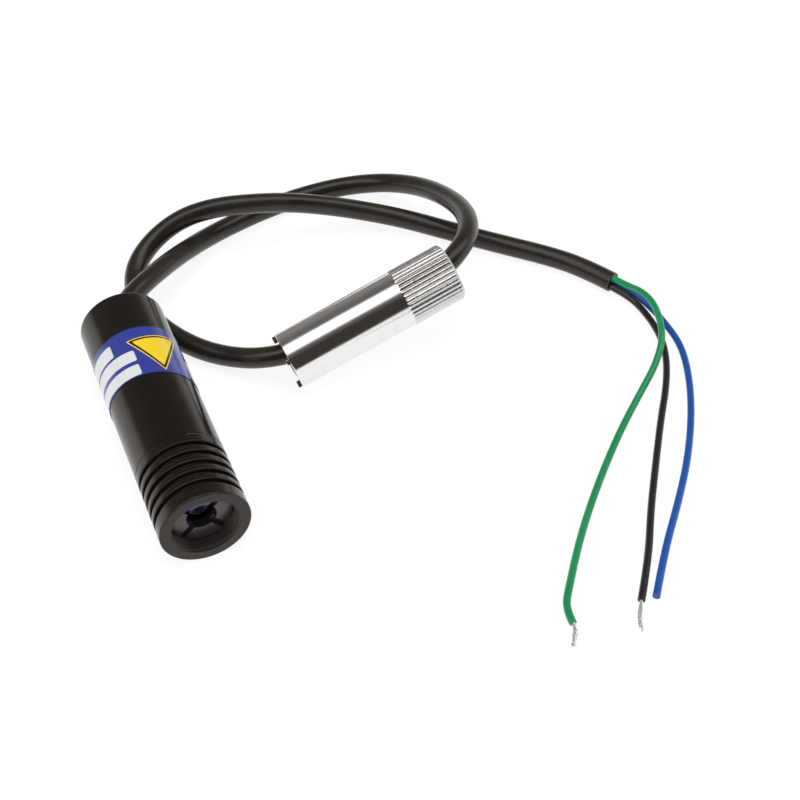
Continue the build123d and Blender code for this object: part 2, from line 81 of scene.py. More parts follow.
# Control points of the cable and the wires, in millimetres, as in the part's source
JACKET_ROUTE = [
    (0, 20.9, 7.5), (0, 25.9, 7.5), (2.1, 30.6, 7.6), (8.2, 35.7, 7.4), (16.8, 44.1, 4.3),
    (27.1, 50.8, 1.9), (39.4, 53.8, 1.9), (50.8, 54.3, 2.0), (59.6, 51.0, 3.2), (64.7, 43.0, 6.6),
    (66.6, 33.0, 10.4), (66.2, 23.6, 13.6), (63.4, 16.2, 15.4), (58.6, 11.2, 15.4), (51.5, 8.6, 13.1),
    (43.8, 7.6, 10.8), (35.0, 7.4, 8.4), (26.6, 7.9, 6.2), (20.4, 10.8, 4.2), (15.8, 15.5, 2.3),
    (11.8, 19.8, 1.9), (8.4, 25.2, 1.9), (5.7, 32.2, 1.9), (5.3, 39.2, 2.0), (7.3, 45.0, 3.0),
    (12.1, 48.8, 4.9), (18.1, 49.9, 7.4), (24.0, 48.1, 9.5), (30.0, 46.4, 9.9), (37.5, 45.7, 8.6),
    (44.8, 45.0, 6.3), (52.1, 43.2, 4.1), (60.1, 39.0, 2.6), (67.6, 32.2, 2.0), (75.1, 25.0, 1.9),
    (82.0, 18.4, 1.9), (86.5, 12.8, 1.9), (89.4, 7.2, 1.9),
]
GREEN_ROUTE = [
    (89.4, 7.2, 2.9), (90.78, 4.54, 2.9), (91.8, -0.2, 4.6), (91.55, -5.2, 5.1), (89.3, -11.75, 4.6),
    (85.7, -15.97, 2.8), (80.17, -20.2, 1.1), (73.77, -25.67, 0.63), (66.94, -32.37, 0.63),
    (59.9, -39.88, 0.63), (54.44, -46.43, 0.63), (50.21, -52.11, 0.63), (47.43, -55.92, 0.63),
    (47.31, -58.9, 0.63),
]
BLACK_ROUTE = [
    (88.71, 6.84, 1.45), (90.09, 4.18, 1.45), (91.75, 0.6, 0.75), (91.7, -6.6, 0.63),
    (89.94, -12.72, 0.63), (86.18, -19.4, 0.63), (80.81, -26.74, 0.63), (75.24, -34.94, 0.63),
    (69.2, -43.92, 0.63), (64.21, -52.2, 0.63), (59.05, -59.12, 0.63),
]
BLUE_ROUTE = [
    (90.09, 7.56, 1.45), (91.47, 4.9, 1.45), (93.35, 0.4, 0.75), (93.86, -5.2, 0.63),
    (93.61, -11.83, 0.63), (90.56, -19.97, 0.63), (86.04, -28.28, 0.63), (80.1, -37.02, 0.63),
    (73.51, -44.93, 0.63), (67.23, -51.99, 0.63), (61.54, -59.4, 0.63),
]
GREEN_END_ROUTE = [(47.31, -58.9, 0.63), (47.27, -60.0, 0.6), (46.3, -61.3, 0.5), (45.3, -62.9, 0.45)]
BLACK_END_ROUTE = [(59.05, -59.12, 0.63), (58.4, -60.2, 0.63), (56.9, -62.4, 0.5), (56.4, -64.4, 0.45)]

# The label's print, in millimetres round and along the barrel: white bars as low corner, high corner
# and corner radius, and the yellow triangle's corners, clockwise
LABEL_BARS = [
    ((-15.5, 10.5), (-4.6, 13.4), 0.35),
    ((-15.5, 7.35), (-1.1, 9.9), 0.35),
    ((-15.5, 3.98), (-1.15, 6.45), 0.35),
    ((8.3, 4.9), (16.5, 9.2), 0.4),
]
LABEL_TRIANGLE = [(-1.75, 12.45), (7.95, 13.3), (2.9, 3.8)]
LABEL_SKEW = 0.09  # how much the bars climb on their way round

# Colours that finishes share, and what the gloss sees of the studio
# Colour of the rubbed rims, and also of the painted highlight along the seam
RUBBED_AND_HIGHLIGHT = (0.10, 0.09, 0.08)
DUST = (0.20, 0.18, 0.15)
PALE_DUST = (0.2, 0.2, 0.22)
# Painted highlight on the crests of the thread in the bore
THREAD_CREST_HIGHLIGHT = (0.042, 0.036, 0.031)
# Painted shade inside the lens cell's aperture
HOLE_SHADE = (0.002, 0.002, 0.001)
FAR_WALL = (0.25, 0.24, 0.215), (0.13, 0.126, 0.12)  # low and high
NEAR_WALL = (0.042, 0.035, 0.033), (0.16, 0.15, 0.145)
SOFTBOX = (1.9, 1.87, 1.83)
HORIZON = (1, 0.985, 0.96)


def a_number(name, description, default, **kind):
    return FloatProperty(name=name, description=description, default=default, **kind)


def a_length(name, description, millimetres):
    return a_number(name, description, millimetres * MM, unit="LENGTH", precision=5)


def an_angle(name, description, degrees):
    return a_number(name, description, math.radians(degrees), subtype="ANGLE")


def a_count(name, description, default):
    return IntProperty(name=name, description=description, default=default, min=1)


def a_vector(name, description, default, **kind):
    return FloatVectorProperty(name=name, description=description, default=default, **kind)


def a_colour(name, description, default):
    return a_vector(name, description, default, subtype="COLOR", min=0, max=1)


class BarrelSizes(PropertyGroup):
    """Sizes of the turned front housing that the frame's boxes don't give."""

    front_length: a_length("Front Length", "From the front face to the seam", 13.6)
    first_groove: a_length("First Groove", "From the front face to its middle", 2.85)
    groove_pitch: a_length("Groove Pitch", "From one groove to the next", 2.12)
    groove_width: a_length("Groove Width", "Across a groove", 1.0)
    groove_depth: a_length("Groove Depth", "From a land to a groove's foot", 0.8)
    groove_count: a_count("Grooves", "How many there are", 5)
    groove_round: a_length("Groove Round", "Radius at a groove's foot", 0.12)
    land_break: a_length("Land Break", "Rounding of the lands' edges", 0.2)
    rim_break: a_length("Rim Break", "Rounding of the front rim", 0.3)
    mouth_break: a_length("Mouth Break", "Bevel of the bore's mouth", 0.3)
    inner_break: a_length("Inner Break", "Rounding of the inner edges", 0.05)
    thread_radius: a_length("Thread Radius", "To the crests of the lens thread", 5.4)
    thread_pitch: a_length("Thread Pitch", "Travel of the lens in one turn", 0.5)
    thread_height: a_length("Thread Height", "From crest to root", 0.27)
    thread_depth: a_length("Thread Depth", "From the front face to the shoulder", 11.6)
    thread_fade: a_length("Thread Fade", "Over which it starts and ends", 0.3)
    shoulder_radius: a_length("Shoulder Radius", "Hole in the spring's shoulder", 3.6)
    shoulder_length: a_length("Shoulder Length", "Its thickness", 1.0)
    holder_radius: a_length("Holder Radius", "Bore round the diode's holder", 5.0)
    spigot_radius: a_length("Spigot Radius", "Spigot inside the rear housing", 6.28)
    spigot_length: a_length("Spigot Length", "From the seam to the spigot's end", 7.0)
    seal_from_seam: a_length("Seal Place", "From the seam to its middle", 1.9)
    seal_width: a_length("Seal Groove Width", "Width of the seal's groove", 0.9)
    seal_depth: a_length("Seal Groove Depth", "Depth of the seal's groove", 0.7)
    sides: a_count("Sides", "Steps round the barrel", 192)
    spring_wire: a_length("Spring Wire", "Radius of the spring's wire", 0.22)
    spring_turns: a_number("Spring Turns", "Turns of the spring", 3.5)


class KeySizes(PropertyGroup):
    """Sizes and place of the focusing key, as in the part's source."""

    radius: a_length("Radius", "Outside of its tube", 5.25)
    wall: a_length("Wall", "Thickness of its tube", 1.7)
    length: a_length("Length", "Without its prongs", 33.1)
    rim_break: a_length("Rim Break", "Rounding of its rims", 0.2)
    foot_x: a_length("Foot X", "Middle of its pronged end", 24.91)
    foot_y: a_length("Foot Y", "Middle of its pronged end", 7.46)
    tilt: an_angle("Tilt", "How far the cable holds up its knurled end", 16.04)
    heading: an_angle("Heading", "From X towards Y", 2.85)
    knurl_length: a_length("Knurl Length", "From the other end", 10.4)
    knurl_rise: a_length("Knurl Rise", "Ridges above the tube", 0.08)
    knurl_fall: a_length("Knurl Fall", "Grooves below the tube", 0.12)
    knurl_ramp: a_length("Knurl Ramp", "Rounding at the ridges' ends", 0.5)
    knurl_bevel: a_length("Knurl Bevel", "Bevel of the ridges at the end face", 0.42)
    ridges: a_count("Ridges", "Ridges round the knurl", 36)
    steps: a_count("Steps", "Steps across a ridge", 12)
    prongs: a_count("Prongs", "Prongs that fit the cell's slots", 4)
    prong_width: a_length("Prong Width", "Across a prong", 0.95)
    prong_length: a_length("Prong Length", "Beyond the tube", 0.6)


class CableSizes(PropertyGroup):
    """Sizes of the jacket, the wires and their bare ends."""

    jacket_radius: a_length("Jacket Radius", "Outside of the cable's jacket", 1.9)
    lip_width: a_length("Lip Width", "Thickness of the jacket at its cut end", 0.45)
    lip_height: a_length("Lip Height", "How far the cut lip stands out", 0.12)
    wire_radius: a_length("Wire Radius", "Outside of a wire's insulation", 0.63)
    jacket_length: a_length("Jacket Length", "Outside the plug", 302.4)
    green_length: a_length("Green Wire Length", "Outside the jacket", 84.2)
    black_length: a_length("Black Wire Length", "Outside the jacket", 76.2)
    blue_length: a_length("Blue Wire Length", "Outside the jacket", 77.9)
    strand_radius: a_length("Strand Radius", "One tinned strand", 0.11)
    bundle_radius: a_length("Bundle Radius", "To the middle of the outer strands", 0.24)
    strand_count: a_count("Outer Strands", "Strands round the middle one", 6)
    strand_turns: a_number("Strand Turns", "Turns of the lay over a bare end", 0.8)
    strand_flare: a_number("Strand Flare", "How far the strands spread at their tips", 0.5)


class PartColours(PropertyGroup):
    """Colours of the finishes that a user would change."""

    anodised: a_colour("Anodised Black", "Housings and lens cell", (0.0072, 0.0058, 0.0045))
    label_field: a_colour("Label Field", "Ground of the label", (0.030, 0.045, 0.30))
    label_bars: a_colour("Label Bars", "Plain bars and panel of the label", (0.74, 0.74, 0.75))
    label_sign: a_colour("Label Triangle", "Plain triangle of the label", (0.93, 0.66, 0.015))
    label_edge: a_colour("Label Edge", "Dark lines of the label", (0.010, 0.010, 0.022))
    jacket: a_colour("Jacket", "Cable jacket", (0.0142, 0.0123, 0.0095))
    green: a_colour("Green Insulation", "Green wire", (0.004, 0.27, 0.085))
    black: a_colour("Black Insulation", "Black wire", (0.016, 0.0135, 0.011))
    blue: a_colour("Blue Insulation", "Blue wire", (0.006, 0.085, 0.40))
    chrome: a_colour("Key Metal", "Polished focusing key", (0.84, 0.83, 0.82))


class StageSettings(PropertyGroup):
    """Camera, floor and lamps."""

    eye: a_vector(
        "Camera Place", "Where it stands", (-0.0276, -0.1705, 0.1859), unit="LENGTH", precision=5
    )
    gaze: a_vector("Camera Gaze", "Where it looks", (0.2662, 0.6423, -0.7187), subtype="DIRECTION")
    lens: a_number("Lens", "Focal length", 66.15, unit="CAMERA")
    sensor: a_number("Sensor", "Width of the camera's sensor in millimetres", 36)
    floor_size: a_length("Floor Size", "Side of the floor", 8000)
    top_lamp: a_number("Top Lamp", "Power of the overhead lamp", 1.5, unit="POWER")
    side_lamp: a_number("Side Lamp", "Power of the side lamp", 0.9, unit="POWER")
    fill: a_number("Fill", "Strength of the light from all round", 0.62)


def by_maths(operation):
    """A method of Signal that puts a maths node on it and on the method's other values."""

    def method(signal, *others):
        return signal.maths(operation, signal, *others)

    return method


class Signal:
    """The output of a shader node, with Python's operators for the maths on it."""

    def __init__(self, wiring, socket):
        self.wiring = wiring
        self.socket = socket

    def maths(self, operation, *values):
        settings = {"operation": operation}
        return self.wiring.node("Math", settings, dict(enumerate(values)))

    def __rsub__(self, other):
        return self.maths("SUBTRACT", other, self)

    def fade(self, low, high):
        """From 0 at low to 1 at high, smoothly."""
        settings = {"interpolation_type": "SMOOTHSTEP"}
        return self.wiring.node("MapRange", settings, {0: self, 1: low, 2: high})

    __add__ = __radd__ = by_maths("ADD")
    __sub__ = by_maths("SUBTRACT")
    __mul__ = __rmul__ = by_maths("MULTIPLY")
    __truediv__ = by_maths("DIVIDE")
    __abs__ = by_maths("ABSOLUTE")
    at_least = by_maths("MAXIMUM")
    at_most = by_maths("MINIMUM")
    root = by_maths("SQRT")
    sine = by_maths("SINE")
    rest_of = by_maths("FLOORED_MODULO")  # what is left over a whole number of steps
    turn_from = by_maths("ARCTAN2")  # the angle that rises by this value over a run of the other


class Wiring:
    """A node tree that is emptied and filled by name, with a few shorthands."""

    def __init__(self, tree):
        self.tree = tree
        self.tree.nodes.clear()

    def node(self, kind, settings=None, inputs=None, output=0):
        """Adds a node, makes its settings, feeds its sockets and gives one output."""
        made = self.tree.nodes.new("ShaderNode" + kind)
        for name, value in (settings or {}).items():
            setattr(made, name, value)
        for name, value in (inputs or {}).items():
            if isinstance(value, Signal):
                self.tree.links.new(value.socket, made.inputs[name])
            else:
                made.inputs[name].default_value = value
        return Signal(self, made.outputs[output] if len(made.outputs) else None)

    def mixed(self, factor, first, second):
        """The first colour where the factor is 0 and the second where it is 1."""
        colours = {0: factor, 6: opaque(first), 7: opaque(second)}
        return self.node("Mix", {"data_type": "RGBA"}, colours, 2)

    def place(self):
        """The place on the piece, in millimetres: x, y and z."""
        return [part * (1 / MM) for part in self.parts("Object")]

    def parts(self, output):
        """The three parts of a texture coordinate."""
        split = {"Vector": self.node("TexCoord", output=output)}
        return [self.node("SeparateXYZ", inputs=split, output=k) for k in range(3)]

    def from_axis(self):
        """How far a point is from the barrel's axis, in millimetres."""
        x, _, z = self.place()
        up = z - AXIS_Z / MM
        return (x * x + up * up).root()

    def noise(self, scale, detail=3, roughness=0.55, stretch=(1, 1, 1)):
        """Grain over the piece, with so many waves in a metre along each axis."""
        place = self.node("TexCoord", output="Object")
        waves = {0: place, 1: tuple(scale * s for s in stretch)}
        sized = self.node("VectorMath", {"operation": "MULTIPLY"}, waves)
        inputs = {"Vector": sized, "Scale": 1, "Detail": detail, "Roughness": roughness}
        return self.node("TexNoise", None, inputs)

    def bump(self, height, depth, strength=1.0, normal=None):
        """A relief of this depth in metres."""
        inputs = {"Height": height, "Distance": depth, "Strength": strength}
        if normal is not None:
            inputs["Normal"] = normal
        return self.node("Bump", None, inputs)


def opaque(colour):
    """A colour with an alpha of 1, or a signal as it is."""
    return colour if isinstance(colour, Signal) else (*colour, 1)


def shade(base, factor, lift=0):
    """A colour made lighter or darker by a factor, and lifted a little."""
    return tuple(factor * c + lift for c in base)


def look(colour, roughness, normal):
    """What a finish varies over its piece."""
    return {"Base Color": colour, "Roughness": roughness, "Normal": normal}


def finish(name, constants, paint):
    """A material whose fixed sockets are set here and whose varying ones come from paint(wiring)."""
    material = bpy.data.materials.new(name)
    material.use_nodes = True
    wiring = Wiring(material.node_tree)
    varying = paint(wiring)
    shader = wiring.node("BsdfPrincipled", None, {**constants, **varying})
    wiring.node("OutputMaterial", None, {"Surface": shader})
    return material


def anodised(name, base, roughness, rims=None, index=1.46, tint=(1, 0.87, 0.76), hole=0, bore=0):
    """Black anodised aluminium: fine turning rings along Y, faint clouds, dust, and, where given,
    rubbed rims with a painted highlight along the seam.

    Within the radius bore, in millimetres, lies a thread, a little lighter, whose crests carry a
    painted highlight, and within the radius hole it is darkened with painted shade.
    """

    def paint(w):
        clouds = w.noise(260, 4)
        along = {"W": w.place()[1], "Scale": 9, "Detail": 3}
        rings = w.node("TexNoise", {"noise_dimensions": "1D"}, along)
        dust = w.noise(2300, 1).fade(0.77, 0.80) * w.noise(420, 1).fade(0.5, 0.62)
        colour = w.mixed(clouds.fade(0.3, 0.75) * 0.3, base, shade(base, 1.6))
        if rims is not None:
            # The rims mask holds rubbed rims and a painted highlight along the seam
            colour = w.mixed(rims(w), colour, RUBBED_AND_HIGHLIGHT)
        colour = w.mixed(dust * 0.5, colour, DUST)
        rough = roughness + 0.03 * (clouds - 0.5) + 0.25 * dust
        if bore:
            inside = 1 - w.from_axis().fade(bore - 0.02, bore + 0.05)
            # Painted highlight: the thread's crests drawn lighter than its roots
            crest_highlight = 1 - w.from_axis().fade(bore - 0.26, bore - 0.08)
            thread = w.mixed(crest_highlight, shade(base, 1.2), THREAD_CREST_HIGHLIGHT)
            colour = w.mixed(inside, colour, thread)
            rough = rough + 0.2 * inside
        if hole:
            # Painted shade: the aperture's inside darkened towards black
            inside = 1 - w.from_axis().fade(hole - 0.02, hole + 0.03)
            colour = w.mixed(inside * 0.8, colour, HOLE_SHADE)
            rough = rough + 0.5 * inside
        return look(colour, rough, w.bump(rings, 0.004 * MM, 0.35))

    return finish(name, {"IOR": index, "Specular Tint": (*tint, 1)}, paint)


def rims_and_seam_highlight(sizes):
    """Where the lands' edges and the front rim are rubbed, and a painted highlight along the seam on
    the barrel's upper right.
    """
    outer, seam, pitch = AXIS_Z / MM, sizes.front_length / MM, sizes.groove_pitch / MM

    def mask(w):
        x, y, z = w.place()
        back = y - FRONT / MM
        from_middle = (back - (sizes.first_groove / MM - pitch / 2)).rest_of(pitch) - pitch / 2
        edge = abs(abs(from_middle) - (sizes.groove_width / 2 + sizes.land_break) / MM)
        grooved = 1 - back.fade(seam - 1.9, seam - 1.7)
        rim = 1 - back.fade(0.1, 0.35)
        outside = w.from_axis().fade(outer - 0.3, outer - 0.15)
        rubbed = ((1 - edge.fade(0.03, 0.12)) * grooved).at_least(rim) * outside
        at_seam = 1 - abs(back - seam + 0.16).fade(0.03, 0.10)
        # Painted highlight: the seam's edge drawn lit along the barrel's upper right, in the rubbed
        # colour
        seam_highlight = at_seam * x.fade(1.4, 1.9) * (1 - x.fade(4.6, 5.4)) * (z - outer).fade(-1, 0)
        return (rubbed * w.noise(900, 3).fade(0.42, 0.62) * 0.12).at_least(seam_highlight * 0.85)

    return mask


def rubber(name, base, roughness):
    """Soft plastic: fine grain, a few duller patches and scuffs."""

    def paint(w):
        clouds = w.noise(170, 4)
        skin = w.noise(2600, 2)
        colour = w.mixed(clouds.fade(0.35, 0.8) * 0.5, base, shade(base, 1.7, 0.004))
        rough = roughness + 0.22 * (clouds - 0.5) + 0.05 * (skin - 0.5)
        return look(colour, rough, w.bump(skin, 0.02 * MM, 0.4))

    return finish(name, {"IOR": 1.5, "Specular Tint": (1, 0.90, 0.80, 1)}, paint)


def insulation(name, base):
    """Glossy wire insulation with a slight drift of its colour and a few handling marks."""

    def paint(w):
        drift = w.noise(110, 3)
        marks = w.noise(1500, 3).fade(0.6, 0.75)
        colour = w.mixed(drift.fade(0.3, 0.7) * 0.35, base, shade(base, 0.55))
        return look(colour, 0.26 + 0.16 * marks, w.bump(marks, 0.006 * MM, 0.3))

    return finish(name, {"IOR": 1.5}, paint)


def bright_metal(name, base, roughness):
    """Bare metal: fine tool marks and small changes of gloss."""

    def paint(w):
        marks = w.noise(1400, 4, 0.6)
        stains = w.noise(300, 3)
        colour = w.mixed(stains.fade(0.45, 0.8) * 0.5, base, shade(base, 0.72))
        rough = roughness + 0.1 * (marks - 0.5) + 0.05 * stains
        return look(colour, rough, w.bump(marks, 0.004 * MM, 0.3))

    return finish(name, {"Metallic": 1.0}, paint)


def key_metal(name, base, sizes, foot, along):
    """Polished tube metal that turns rougher, with short nicks, where it is knurled."""

    def paint(w):
        place = w.node("TexCoord", output="Object")
        both = {0: place, 1: tuple(along)}
        reach = w.node("VectorMath", {"operation": "DOT_PRODUCT"}, both, 1)
        start = float(foot @ along) + sizes.length - sizes.knurl_length
        knurled = (reach * (1 / MM)).fade(start / MM - 0.05, start / MM + 0.4)
        marks = w.noise(1500, 4, 0.6, (0.10, 1, 1))
        nicks = w.noise(2600, 2, 0.5, (0.5, 1, 1)).fade(0.55, 0.75) * knurled
        stains = w.noise(260, 3).fade(0.45, 0.8)
        colour = w.mixed(stains * 0.25, base, shade(base, 0.78))
        colour = w.mixed(knurled, colour, shade(base, 0.86))
        rough = 0.10 + 0.06 * marks + 0.05 * stains + 0.14 * knurled + 0.15 * nicks
        relief = w.bump(nicks, 0.02 * MM, 0.6, w.bump(marks, 0.003 * MM, 0.3))
        return look(colour, rough, relief)

    return finish(name, {"Metallic": 1.0}, paint)


def moulded(name, base, roughness):
    """Moulded plastic, ceramic or lacquer with a fine speckle."""

    def paint(w):
        grain = w.noise(3200, 3)
        clouds = w.noise(500, 2)
        colour = w.mixed(grain.fade(0.35, 0.7) * 0.3, base, shade(base, 1.45, 0.006))
        rough = roughness + 0.12 * (clouds - 0.5)
        return look(colour, rough, w.bump(grain, 0.006 * MM, 0.4))

    return finish(name, {"IOR": 1.5}, paint)


def circuit_lacquer(name):
    """Green solder mask over copper tracks that run in steps along the board."""

    def paint(w):
        x, y, _ = w.place()
        weave = w.noise(900, 2)
        across = (x * 0.9 + 0.25 * (y * 0.5).sine()).rest_of(1.0)
        tracks = abs(across - 0.5).fade(0.16, 0.2)
        colour = w.mixed(tracks, (0.012, 0.13, 0.05), (0.006, 0.075, 0.028))
        colour = w.mixed(weave.fade(0.4, 0.7) * 0.25, colour, (0.02, 0.16, 0.06))
        return look(colour, 0.32 + 0.1 * weave, w.bump(1 - tracks, 0.03 * MM, 0.5))

    return finish(name, {"IOR": 1.52}, paint)


def coated_glass(name, middle, rim, roughness):
    """Dark coated glass whose reflection is painted stronger in colour towards its rim, with a trace of
    dust.
    """

    def paint(w):
        dust = w.noise(3000, 1).fade(0.76, 0.8)
        # Painted reflection: the reflected base colour grows from the middle towards the rim
        reflection_ring = w.from_axis() + 0.5 * w.noise(200, 2)
        colour = w.mixed(dust * 0.2, w.mixed(reflection_ring.fade(1.0, 2.1), middle, rim), PALE_DUST)
        return {"Base Color": colour, "Roughness": roughness + 0.2 * dust}

    return finish(name, {"Metallic": 1.0}, paint)


def round_box(s, t, low, high, radius, soft=0.05):
    """1 inside a rectangle with round corners on the label's (s, t), and 0 outside."""
    centre = [(a + b) / 2 for a, b in zip(low, high)]
    half = [(b - a) / 2 - radius for a, b in zip(low, high)]
    over_s, over_t = abs(s - centre[0]) - half[0], abs(t - centre[1]) - half[1]
    past_s, past_t = over_s.at_least(0), over_t.at_least(0)
    corner = (past_s * past_s + past_t * past_t).root()
    distance = corner + over_s.at_least(over_t).at_most(0) - radius
    return 1 - distance.fade(-soft, soft)


def outside_triangle(s, t, corners, blunt):
    """How far a point of the label lies outside a blunt triangle, negative inside."""
    distance = None
    for (s0, t0), (s1, t1) in zip(corners, corners[1:] + corners[:1]):
        length = math.hypot(s1 - s0, t1 - t0)
        out_s, out_t = (t0 - t1) / length, (s1 - s0) / length
        edge = s * out_s + t * out_t - (s0 * out_s + t0 * out_t)
        distance = edge if distance is None else distance.maths("SMOOTH_MAX", distance, edge, blunt)
    return distance


def printed_label(name, colours):
    """The label's print on the barrel: a blue ground, plain white bars and a plain yellow triangle.

    s runs round the barrel from its top and y along it. The bars follow the label's skew, so they are
    drawn on t, which is y with a little of s added. Every shape is a distance to its outline.
    """

    def paint(w):
        x, y, z = w.place()
        low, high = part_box("label")
        s = x.turn_from(z - AXIS_Z / MM) * ((high.z - AXIS_Z) / MM)
        t = y + LABEL_SKEW * s
        white = round_box(s, t, *LABEL_BARS[0])
        for bar in LABEL_BARS[1:]:
            white = white.at_least(round_box(s, t, *bar))
        outside = outside_triangle(s, y, LABEL_TRIANGLE, 0.5)
        sign = 1 - outside.fade(-0.03, 0.03)
        dark = sign * (1 - outside.fade(-0.22, -0.16)) * outside.fade(-0.62, -0.56)
        grain = w.noise(2500, 2)
        edge = (y - low.y / MM).at_most(high.y / MM - y)
        field = colours.label_field
        colour = w.mixed(1 - edge.fade(0.12, 0.3), field, shade(field, 0.35))
        colour = w.mixed(white, colour, colours.label_bars)
        colour = w.mixed(sign, colour, colours.label_sign)
        colour = w.mixed(dark, colour, colours.label_edge)
        colour = w.mixed(grain.fade(0.55, 0.8) * 0.12, colour, (0.02, 0.02, 0.03))
        ripple = w.bump(w.noise(180, 2), 0.03 * MM, 0.25)
        return look(colour, 0.24 + 0.1 * (grain - 0.5), ripple)

    return finish(name, {"IOR": 1.5, "Coat Weight": 0.25, "Coat Roughness": 0.12}, paint)


def add_object(name, data):
    """A new object in the scene, at the origin."""
    made = bpy.data.objects.new(name, data)
    bpy.context.scene.collection.objects.link(made)
    return made


def unit(vectors):
    """Vectors of length 1 that point the same way."""
    return vectors / np.linalg.norm(vectors, axis=-1, keepdims=True)


def around(steps):
    """Angles once round, without the last one, which is the first again."""
    return np.linspace(0, TURN, steps, endpoint=False)


def solid(name, points, faces):
    """A smooth-shaded object at the origin, in which points that meet are one."""
    mesh = bpy.data.meshes.new(name)
    mesh.from_pydata(points.reshape(-1, 3).tolist(), [], faces)
    shell = bmesh.new()
    shell.from_mesh(mesh)
    bmesh.ops.remove_doubles(shell, verts=shell.verts, dist=MERGE)
    shell.to_mesh(mesh)
    shell.free()
    mesh.shade_smooth()
    return add_object(name, mesh)


def tubes(name, points, loop=False):
    """One piece from points by tube, by ring along it and by place round the ring.

    A loop's last ring meets its first. Any other tube has flat ends, or closes where its rings shrink
    to a point.
    """
    if loop:
        points = np.concatenate([points, points[:, :1]], axis=1)
    index = np.arange(points.size // 3).reshape(points.shape[:3])
    ahead = np.roll(index, -1, axis=2)
    sides = np.stack([index[:, :-1], ahead[:, :-1], ahead[:, 1:], index[:, 1:]], axis=-1)
    ends = [] if loop else np.concatenate([index[:, 0, ::-1], index[:, -1]]).tolist()
    return solid(name, points, sides.reshape(-1, 4).tolist() + ends)


def rounded(corners, radii, steps=5, margin=0.012 * MM):
    """A closed outline with its corners rounded.

    Each corner becomes a curve (1-u)^2 a + 2u(1-u) c + u^2 b, where c is the corner and a and b lie its
    radius away on its two sides. A point just before a and one just after b keep the flats flat.
    """
    corners = np.array(corners, float)
    cut = np.array(radii, float)[:, None]
    back = unit(np.roll(corners, 1, axis=0) - corners)
    ahead = unit(np.roll(corners, -1, axis=0) - corners)
    u = np.linspace(0, 1, steps)[None, :, None]
    a, b, c = (corners + cut * back)[:, None], (corners + cut * ahead)[:, None], corners[:, None]
    curve = (1 - u) ** 2 * a + 2 * u * (1 - u) * c + u**2 * b
    before, after = a + margin * back[:, None], b + margin * ahead[:, None]
    return np.concatenate([before, curve, after], axis=1).reshape(-1, 2)


def turned(name, profile, sides, thread):
    """A closed outline of (y, r) turned about the barrel's axis.

    At the angle v the point of the outline (y, r) goes to (r sin v, y, axis + r cos v). The thread adds
    to r a rounded wave of y less v's share of the pitch, so it climbs one pitch in a turn.
    """
    v = around(sides)[None, :]
    y, r = profile[:, :1], profile[:, 1:2]
    r = r + thread(y, v)
    points = np.stack([r * np.sin(v), np.broadcast_to(y, r.shape), AXIS_Z + r * np.cos(v)], axis=-1)
    return tubes(name, points[None], loop=True)


def front_housing_outline(s):
    """The front housing's outline in (y, r): outside with grooves, spigot, then the stepped bore."""
    outer = AXIS_Z
    seam = FRONT + s.front_length
    end = seam + s.spigot_length
    shoulder = FRONT + s.thread_depth
    holder = shoulder + s.shoulder_length
    seam_break, end_break, crest_break = 0.18 * MM, 0.1 * MM, 0.03 * MM
    corners, radii = [], []

    def add(y, r, radius):
        corners.append((y, r))
        radii.append(radius)

    def groove(middle, width, r, depth, edge, foot):
        for side, down in ((-1, 0), (-1, depth), (1, depth), (1, 0)):
            add(middle + side * width / 2, r - down, foot if down else edge)

    add(FRONT, s.thread_radius + s.mouth_break, s.inner_break)
    add(FRONT, outer, s.rim_break)
    for k in range(s.groove_count):
        middle = FRONT + s.first_groove + s.groove_pitch * k
        groove(middle, s.groove_width, outer, s.groove_depth, s.land_break, s.groove_round)
    add(seam, outer, seam_break)
    add(seam, s.spigot_radius, s.inner_break)
    seal = seam + s.seal_from_seam
    groove(seal, s.seal_width, s.spigot_radius, s.seal_depth, s.inner_break, s.inner_break)
    add(end, s.spigot_radius, end_break)
    add(end, s.holder_radius, end_break)
    add(holder, s.holder_radius, s.inner_break)
    add(holder, s.shoulder_radius, s.inner_break)
    add(shoulder, s.shoulder_radius, s.inner_break)
    add(shoulder, s.thread_radius, s.inner_break)
    add(FRONT + s.mouth_break, s.thread_radius, crest_break)
    return rounded(corners, radii)


def with_thread_steps(outline, s):
    """The outline with even steps along the threaded bore, eight to a pitch."""
    start = FRONT + s.thread_depth - s.thread_fade
    stop = FRONT + s.mouth_break + s.inner_break
    steps = np.arange(start, stop, -s.thread_pitch / 8)
    extra = np.stack([steps, np.full(len(steps), s.thread_radius)], axis=1)
    y, r = outline.T
    on_bore = np.isclose(r, s.thread_radius, atol=1e-9) & (y > stop) & (y < FRONT + s.thread_depth)
    place = np.flatnonzero(on_bore)[-1] + 1
    return np.vstack([outline[:place], extra, outline[place:]])


def smooth_curve(name, route, radius, detail):
    """A curve of one smooth spline whose control points are the route's, with a round section.

    It is a NURBS spline of order 3 that starts and ends at its end points.
    """
    curve = bpy.data.curves.new(name, "CURVE")
    curve.dimensions = "3D"
    curve.bevel_depth = radius
    curve.bevel_resolution = detail
    curve.use_fill_caps = True
    curve.resolution_u = 14
    curve.render_resolution_u = 14
    spline = curve.splines.new("NURBS")
    spline.points.add(len(route) - 1)
    points = np.hstack([np.array(route, float) * MM, np.ones((len(route), 1))])
    spline.points.foreach_set("co", points.ravel())
    spline.order_u = 3
    spline.use_endpoint_u = True
    spline.use_smooth = True
    return add_object(name, curve)


def centre_line(route):
    """Points along a route's smooth spline, read from a curve with no section."""
    line = smooth_curve("centre_line", route, 0, 0)
    bpy.context.view_layer.update()
    mesh = bpy.data.meshes.new_from_object(line)
    points = np.empty(len(mesh.vertices) * 3)
    mesh.vertices.foreach_get("co", points)
    curve = line.data
    bpy.data.objects.remove(line)
    bpy.data.curves.remove(curve)
    bpy.data.meshes.remove(mesh)
    return points.reshape(-1, 3)


